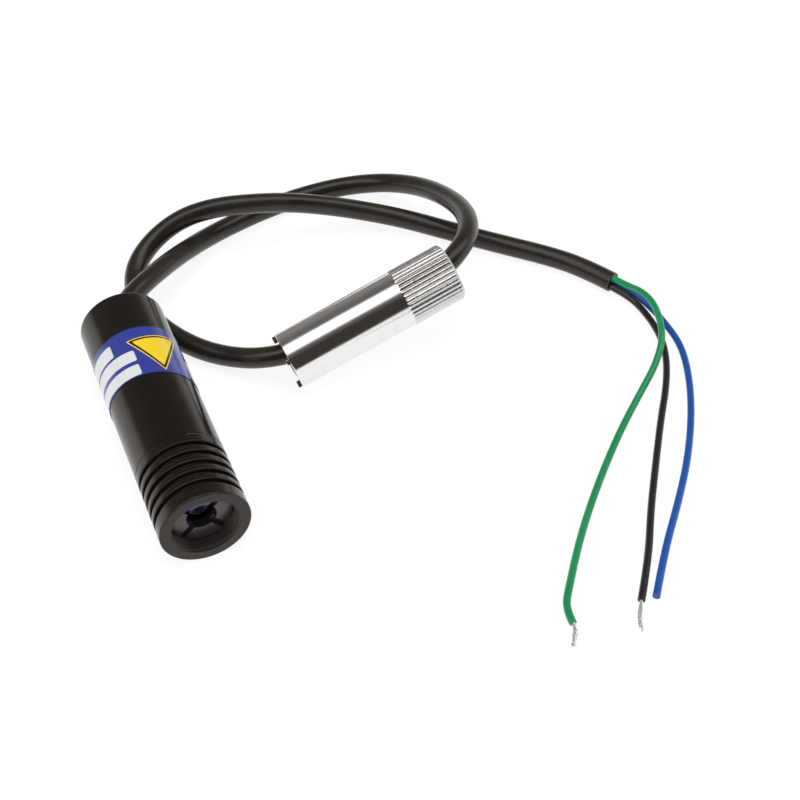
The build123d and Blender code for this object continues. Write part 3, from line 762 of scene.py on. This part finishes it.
def strand_bundle(name, route, sizes, phase):
    """Bare strands laid round a middle one along a route, spreading a little at their tips.

    On the way u from 0 to 1 the middle of strand k is the line's point plus rho s (cos w, -sin w)
    across it, where w grows by a turn times the strand turns, and s = 0.8 + 0.5 sin^2(pi u) +
    flare u^3 (0.6 + 0.4 sin(2.4 k + phase)). Some strands end up to a tenth early. Round that runs a
    circle of the strand's radius, which closes to a point within the last hundredth of the way.
    """
    line = centre_line(route)
    u = np.linspace(0, 1, len(line))
    along = unit(np.gradient(line, axis=0))
    side = unit(np.cross(along, (0, 0, 1)))
    up = np.cross(along, side)
    k = np.arange(sizes.strand_count + 1)[:, None]
    rho = np.where(k == sizes.strand_count, 0, sizes.bundle_radius)
    flare = sizes.strand_flare * u**3 * (0.6 + 0.4 * np.sin(2.4 * k + phase))
    spread = (rho * (0.8 + 0.5 * np.sin(math.pi * u) ** 2 + flare))[..., None]
    w = (TURN * (k / sizes.strand_count + sizes.strand_turns * u) + phase)[..., None]
    stop = 1 - 0.10 * (0.5 + 0.5 * np.sin(3.7 * k + phase)) * u**3
    reach = u * stop * (len(line) - 1)
    below = np.floor(reach).astype(int).clip(0, len(line) - 2)
    share = (reach - below)[..., None]
    middle = line[below] * (1 - share) + line[below + 1] * share
    middle = middle + spread * (np.cos(w) * side - np.sin(w) * up)
    angle = around(10)[None, :, None]
    last = 0.01
    past = ((u - 0.5).clip(0.5 - last) - (0.5 - last)) / last
    thickness = sizes.strand_radius * np.sqrt((1 - past**2).clip(0))[:, None, None]
    ring = thickness * (np.cos(angle) * side[:, None] + np.sin(angle) * up[:, None])
    return tubes(name, middle[:, :, None, :] + ring[None])


def dress(piece, material):
    """Gives a piece its material."""
    piece.data.materials.clear()
    piece.data.materials.append(material)


def stand_in(piece, material, node):
    """Gives a piece its material, and puts it in a solid's place on the housing."""
    dress(piece, material)
    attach(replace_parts(piece, node), BODY)
    return piece


def aim(piece, place, gaze):
    """Stands a lamp or the camera at a place and turns it to look along gaze."""
    piece.location = place
    piece.rotation_mode = "QUATERNION"
    piece.rotation_quaternion = Vector(gaze).to_track_quat("-Z", "Y")


class MODULE_OT_cable(Operator):
    """Lay the cable's jacket and its three wires"""

    bl_idname = "diode_module.cable"
    bl_label = "Cable and Wires"

    def execute(self, context):
        sizes, colours = context.scene.cable_sizes, context.scene.part_colours
        jacket = smooth_curve("cable_jacket_curve", JACKET_ROUTE, sizes.jacket_radius, 7)
        skin = rubber("Black Jacket", colours.jacket, 0.27)
        stand_in(jacket, skin, "cable_jacket")
        plug_face = (0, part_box("rear_plug")[1].y, AXIS_Z)
        ends = ["focusing_key_tube", "focusing_key_prongs", self.lip(sizes, colours)]
        self.declare(jacket, plug_face, sizes.jacket_length, sizes.jacket_radius, ends)
        tin = bright_metal("Tinned Copper", (0.95, 0.94, 0.91), 0.42)
        wires = (
            ("green", colours.green, sizes.green_length, GREEN_ROUTE, GREEN_END_ROUTE, 0.4),
            ("black", colours.black, sizes.black_length, BLACK_ROUTE, BLACK_END_ROUTE, 2.1),
            ("blue", colours.blue, sizes.blue_length, BLUE_ROUTE, None, 0),
        )
        for name, colour, length, route, bare_route, phase in wires:
            wire = smooth_curve(f"{name}_wire_curve", route, sizes.wire_radius, 5)
            skin = insulation(f"{name.title()} Insulation", colour)
            stand_in(wire, skin, f"{name}_wire")
            ends = []
            if bare_route:
                strands = strand_bundle(f"{name}_strand_bundle", bare_route, sizes, phase)
                ends.append(stand_in(strands, tin, f"{name}_strands"))
            self.declare(wire, [c * MM for c in route[0]], length, sizes.wire_radius, ends)
        return {"FINISHED"}

    def declare(self, piece, start, length, radius, ends):
        """Takes a cord's piece, start, length, radius and end pieces, and does nothing with them."""

    def lip(self, sizes, colours):
        """The jacket's cut lip: a ring with a flat round section.

        At the angle v round the section a point is (w/2)(1 - cos v) inside the jacket's radius, where w
        is the lip's width, and the lip's height times sin v along the cable.
        """
        end, before = (np.array(JACKET_ROUTE[k], float) * MM for k in (-1, -2))
        along = unit(end - before)
        side = unit(np.cross(along, (0, 0, 1)))
        u, v = around(72)[:, None, None], around(20)[None, :, None]
        r = sizes.jacket_radius - sizes.lip_width / 2 * (1 - np.cos(v))
        out = np.cos(u) * side + np.sin(u) * np.cross(side, along)
        ring = end + r * out + sizes.lip_height * np.sin(v) * along
        ring = tubes("jacket_lip", ring[None], loop=True)
        # Painted highlight: the lip is over three times lighter than the jacket, as its rim catches the
        # light
        dress(ring, rubber("Jacket Lip Highlight", shade(colours.jacket, 3.2), 0.35))
        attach(ring, BODY)
        return ring


class MODULE_OT_front_housing(Operator):
    """Turn the front housing with its grooves and its lens thread"""

    bl_idname = "diode_module.front_housing"
    bl_label = "Front Housing"

    def execute(self, context):
        s = context.scene.barrel_sizes

        def thread(y, v):
            wave = 0.5 - 0.5 * np.cos(TURN * (y - FRONT) / s.thread_pitch - v)
            on_bore = np.isclose(profile[:, 1:2], s.thread_radius, atol=1e-9)
            start = (y - FRONT - s.mouth_break - s.inner_break) / s.thread_fade
            stop = (FRONT + s.thread_depth - s.thread_fade - y) / s.thread_fade
            return on_bore * start.clip(0, 1) * stop.clip(0, 1) * s.thread_height * wave**0.8

        profile = with_thread_steps(front_housing_outline(s), s)
        housing = turned("front_housing_turned", profile, s.sides, thread)
        base, bore = context.scene.part_colours.anodised, (s.thread_radius + s.thread_height) / MM
        metal = anodised("Anodised Front", base, 0.20, rims_and_seam_highlight(s), bore=bore)
        stand_in(housing, metal, "front_housing")
        return {"FINISHED"}


class MODULE_OT_focus_spring(Operator):
    """Wind the focusing spring that gives way to the lens cell"""

    bl_idname = "diode_module.focus_spring"
    bl_label = "Focusing Spring"

    def execute(self, context):
        """Makes the coil and blends it between its two seats.

        At u from 0 to 1 its middle is (R sin a, foot + height u, R cos a) about the barrel's axis, with
        a = 2 pi turns u. Round it runs a circle of the wire's radius, across (sin a, 0, cos a) and up.
        """
        s = context.scene.barrel_sizes
        low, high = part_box("focus_spring")
        radius, foot = high.x - s.spring_wire, low.y + s.spring_wire
        height = high.y - s.spring_wire - foot
        u = np.linspace(0, 1, round(72 * s.spring_turns))[:, None]
        a = TURN * s.spring_turns * u
        out = np.hstack([np.sin(a), 0 * a, np.cos(a)])
        middle = radius * out + (foot + height * u) * np.array([0, 1, 0]) + (0, 0, AXIS_Z)
        up = np.cross(unit(np.gradient(middle, axis=0)), out)
        v = around(20)[None, :, None]
        ring = np.cos(v) * out[:, None] + np.sin(v) * up[:, None]
        spring = tubes("focus_spring_coil", (middle[:, None] + s.spring_wire * ring)[None])
        dress(spring, bright_metal("Spring Steel", (0.45, 0.44, 0.42), 0.3))
        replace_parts(spring, "focus_spring")
        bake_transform(spring)
        return {"FINISHED"}


class MODULE_OT_focusing_key(Operator):
    """Turn the focusing key with its knurl and its prongs"""

    bl_idname = "diode_module.focusing_key"
    bl_label = "Focusing Key"

    def execute(self, context):
        s = context.scene.key_sizes
        flat = math.cos(s.tilt)
        along = np.array([flat * math.cos(s.heading), flat * math.sin(s.heading), math.sin(s.tilt)])
        side = np.array([math.sin(s.heading), -math.cos(s.heading), 0])
        foot = np.array([s.foot_x, s.foot_y, s.radius * flat - s.rim_break * math.sin(s.tilt)])
        axes = np.stack([side, np.cross(along, side), along])
        prongs = np.stack([self.prong(s, k) for k in range(s.prongs)])
        pieces = (
            tubes("focusing_key_tube", (self.tube(s) @ axes + foot)[None], loop=True),
            tubes("focusing_key_prongs", prongs @ axes + foot),
        )
        metal = key_metal("Polished Key", context.scene.part_colours.chrome, s, foot, along)
        for piece in pieces:
            stand_in(piece, metal, "focusing_key")
        return {"FINISHED"}

    def tube(self, s):
        """The tube's surface on its own axes.

        At the angle v an outline point (t, r) goes to (r cos v, r sin v, t). Past the knurl's start the
        outer r gains (rise + fall) |sin(ridges v / 2)| - fall, times a ramp 1 - (1 - q)^2 with q from 0
        to 1 over the rounding at the ridges' ends, and stays below a bevel that falls by 1 in 1.
        """
        bore = s.radius - s.wall
        start = s.length - s.knurl_length
        corners = [(0, bore), (0, s.radius), (s.length, s.radius), (s.length, bore)]
        outline = rounded(corners, [s.rim_break] * 4)
        outer = np.flatnonzero(np.isclose(outline[:, 1], s.radius))
        plain = np.linspace(1 * MM, start - 0.02 * MM, 8)
        ramp = start + s.knurl_ramp * np.linspace(0, 1, 9)
        knurl = np.linspace(start + 1 * MM, s.length - 1.2 * s.knurl_bevel, 8)
        edge = np.linspace(s.length - s.knurl_bevel, s.length - 1.1 * s.rim_break, 5)
        extra = np.concatenate([plain, ramp, knurl, edge])
        split = outer[len(outer) // 2]
        added = np.stack([extra, np.full(len(extra), s.radius)], axis=1)
        outline = np.vstack([outline[:split], added, outline[split:]])
        v = around(s.ridges * s.steps)[None, :]
        t, r = outline[:, :1], outline[:, 1:2]
        q = np.clip((t - start) / s.knurl_ramp, 0, 1)
        relief = (s.knurl_rise + s.knurl_fall) * np.abs(np.sin(s.ridges * v / 2)) - s.knurl_fall
        outside = r > (bore + s.radius) / 2
        r = r + relief * (1 - (1 - q) ** 2) * outside
        bevel = s.radius + s.knurl_rise + (s.length - s.knurl_bevel - t).clip(max=0)
        r = np.where(outside, np.minimum(r, bevel), r)
        return np.stack([r * np.cos(v), r * np.sin(v), np.broadcast_to(t, r.shape)], axis=-1)

    def prong(self, s, k):
        """A prong as a superellipsoid: half sizes times sgn(cos)|cos|^e and the like."""
        e = 0.12  # nearly a box
        u, v = np.linspace(-math.pi / 2, math.pi / 2, 33)[:, None], around(64)[None, :]
        waves = np.cos(u).round(9), np.sin(u), np.cos(v), np.sin(v)
        across, along, x, y = (np.sign(wave) * np.abs(wave) ** e for wave in waves)
        ball = np.stack([across * x, across * y, along + 0 * v], axis=-1)
        depth, height = s.wall / 2 - s.rim_break, (s.prong_length + s.rim_break) / 2
        box = ball * (depth, s.prong_width / 2, height)
        box = box + (s.radius - s.wall / 2, 0, s.rim_break - height)
        turn = TURN * (k + 0.5) / s.prongs
        c, d = math.cos(turn), math.sin(turn)
        return box @ np.array([[c, d, 0], [-d, c, 0], [0, 0, 1]])


class MODULE_OT_solid_finishes(Operator):
    """Give each solid that is kept as it is its finish"""

    bl_idname = "diode_module.solid_finishes"
    bl_label = "Finishes of the Solids"

    def execute(self, context):
        colours = context.scene.part_colours
        grey, pink = (0.034, 0.028, 0.031), (1, 0.92, 0.98)
        cell = anodised("Anodised Cell", grey, 0.25, index=1.62, tint=pink, hole=2.5)
        lens = coated_glass("Coated Lens", (0.004, 0.003, 0.007), (0.045, 0.030, 0.135), 0.08)
        window = coated_glass("Diode Window", (0.04, 0.05, 0.05), (0.10, 0.13, 0.12), 0.06)
        gold = bright_metal("Gold Plate", (0.80, 0.56, 0.22), 0.22)
        finishes = {
            anodised("Anodised Black", colours.anodised, 0.17): ["rear_housing", "lens_retainer"],
            cell: ["lens_cell"],
            lens: ["collimating_lens"],
            window: ["diode_window"],
            gold: ["diode_header", "diode_leads"],
            moulded("Black Plastic", (0.013, 0.013, 0.013), 0.5): ["rear_plug"],
            moulded("Chip Mould", (0.02, 0.02, 0.021), 0.55): ["driver_chip", "drive_transistor"],
            printed_label("Printed Label", colours): ["label"],
            bright_metal("Washer Steel", (0.55, 0.54, 0.52), 0.25): ["thrust_washer"],
            bright_metal("Turned Brass", (0.62, 0.43, 0.16), 0.3): ["diode_holder", "diode_retainer"],
            bright_metal("Nickel Cap", (0.60, 0.57, 0.52), 0.22): ["diode_cap"],
            bright_metal("Clamp Steel", (0.50, 0.49, 0.47), 0.35): ["cable_clamp"],
            bright_metal("Solder", (0.60, 0.60, 0.58), 0.28): ["solder_joints"],
            rubber("Seal Rubber", (0.012, 0.012, 0.012), 0.6): ["seam_seal"],
            circuit_lacquer("Circuit Board"): ["driver_board"],
            moulded("Tantalum Lacquer", (0.62, 0.30, 0.03), 0.4): ["tantalum_capacitor"],
            moulded("Trimmer Plastic", (0.03, 0.10, 0.32), 0.4): ["current_trimmer"],
            moulded("Capacitor Ceramic", (0.38, 0.27, 0.17), 0.45): ["ceramic_capacitors"],
            moulded("Resistor Glaze", (0.02, 0.02, 0.022), 0.3): ["chip_resistors"],
        }
        for colour in ("green", "black", "blue"):
            finishes[bpy.data.materials[f"{colour.title()} Insulation"]] = [f"{colour}_wire_inside"]
        for material, nodes in finishes.items():
            for node in nodes:
                dress(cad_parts[node], material)
        return {"FINISHED"}


class MODULE_OT_stage(Operator):
    """Set up the floor, the light and the camera"""

    bl_idname = "diode_module.stage"
    bl_label = "Floor, Light and Camera"

    def execute(self, context):
        s = context.scene.stage_settings
        self.floor(s)
        self.world(context.scene, s)
        above, beside = (0.05, 0.02, 0.60), (-0.40, -0.35, 0.42)
        self.lamp("top_lamp", s.top_lamp, size=0.42, place=above, gaze=(0, 0, -1))
        self.lamp("side_lamp", s.side_lamp, size=0.45, place=beside, gaze=(0.62, 0.52, -0.58))
        camera = add_object("camera", bpy.data.cameras.new("camera"))
        camera.data.lens = s.lens
        camera.data.sensor_width = s.sensor
        camera.data.clip_start = 0.01
        aim(camera, s.eye, s.gaze)
        context.scene.camera = camera
        context.scene.view_settings.view_transform = "Standard"
        return {"FINISHED"}

    def floor(self, s):
        """A pale floor that camera and gloss see nearly white, and that keeps a soft shadow."""
        half = s.floor_size / 2
        corners = np.array([[-half, -half, 0], [half, -half, 0], [half, half, 0], [-half, half, 0]])
        floor = solid("floor", corners - (0, 0, FLOOR_GAP), [[0, 1, 2, 3]])
        material = bpy.data.materials.new("Pale Floor")
        material.use_nodes = True
        w = Wiring(material.node_tree)
        seen = self.seen(w)
        shaded = w.node("BsdfDiffuse", None, {"Color": (0.9, 0.9, 0.9, 1)})
        glow = w.node("Emission", None, {"Color": (1, 1, 1, 1), "Strength": 1.08})
        mixed = w.node("MixShader", None, {0: seen * 0.8, 1: shaded, 2: glow})
        w.node("OutputMaterial", None, {"Surface": mixed})
        floor.data.materials.append(material)

    def seen(self, w):
        """1 for the rays from the camera and through gloss and glass."""
        camera, glossy, clear = (
            w.node("LightPath", output=name)
            for name in ("Is Camera Ray", "Is Glossy Ray", "Is Transmission Ray")
        )
        return camera.at_least(glossy).at_least(clear)

    def world(self, scene, s):
        """White to the camera, a studio to the gloss, and even light from all round for the rest.

        The gloss sees a strip softbox overhead between a near and a far wall, and a glowing horizon.
        """
        world = scene.world or bpy.data.worlds.new("world")
        scene.world = world
        world.use_nodes = True
        w = Wiring(world.node_tree)
        east, north, height = w.parts("Generated")
        away = (east * s.gaze[0] + north * s.gaze[1]).fade(-0.16, 0.08)
        far = w.mixed(height.fade(0.35, 0.88), *FAR_WALL)
        near = w.mixed(height.fade(0.70, 0.95), *NEAR_WALL)
        lean = abs(north / height.at_least(0.05) + 0.03)
        softbox = (1 - lean.fade(0.15, 0.48)) * (1 - abs(east).fade(0.75, 0.92))
        upper = w.mixed(softbox, w.mixed(away, near, far), SOFTBOX)
        glow = (height / (abs(east) * 0.38 + east * 0.12 + 0.05)).fade(0.02, 1)
        ceiling = w.mixed(glow, HORIZON, upper)
        camera = w.node("LightPath", output="Is Camera Ray")
        even = w.mixed(self.seen(w), (s.fill,) * 3, ceiling)
        colour = w.mixed(camera, even, (1, 1, 1))
        sky = w.node("Background", None, {"Color": colour, "Strength": 1.0})
        w.node("OutputWorld", None, {"Surface": sky})

    def lamp(self, name, power, size, place, gaze):
        """A square soft lamp for the colours. What shows in the gloss is the world's own softbox."""
        data = bpy.data.lights.new(name, "AREA")
        data.energy = power
        data.size = size
        lamp = add_object(name, data)
        lamp.visible_glossy = False
        aim(lamp, place, gaze)


class MODULE_PT_panel(Panel):
    """Lists the steps and the sizes of the module"""

    bl_idname = "MODULE_PT_panel"
    bl_label = "Laser Diode Module"
    bl_space_type = "VIEW_3D"
    bl_region_type = "UI"
    bl_category = "Diode Module"

    def draw(self, context):
        for step in STEPS:
            self.layout.operator(step.bl_idname)
        for group, kind in GROUPS.items():
            box = self.layout.box()
            for name in kind.__annotations__:
                box.prop(getattr(context.scene, group), name)


STEPS = (
    MODULE_OT_focusing_key,
    MODULE_OT_cable,
    MODULE_OT_front_housing,
    MODULE_OT_focus_spring,
    MODULE_OT_solid_finishes,
    MODULE_OT_stage,
)
GROUPS = {
    "barrel_sizes": BarrelSizes,
    "key_sizes": KeySizes,
    "cable_sizes": CableSizes,
    "part_colours": PartColours,
    "stage_settings": StageSettings,
}


def register():
    for kind in (*GROUPS.values(), *STEPS, MODULE_PT_panel):
        bpy.utils.register_class(kind)
    for name, kind in GROUPS.items():
        setattr(bpy.types.Scene, name, PointerProperty(type=kind))


def unregister():
    for name in GROUPS:
        delattr(bpy.types.Scene, name)
    for kind in (MODULE_PT_panel, *reversed(STEPS), *reversed(GROUPS.values())):
        bpy.utils.unregister_class(kind)


def main():
    """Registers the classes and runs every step."""
    register()
    bpy.ops.diode_module.focusing_key()
    bpy.ops.diode_module.cable()
    bpy.ops.diode_module.front_housing()
    bpy.ops.diode_module.focus_spring()
    bpy.ops.diode_module.solid_finishes()
    bpy.ops.diode_module.stage()


if __name__ == "__main__":
    main()
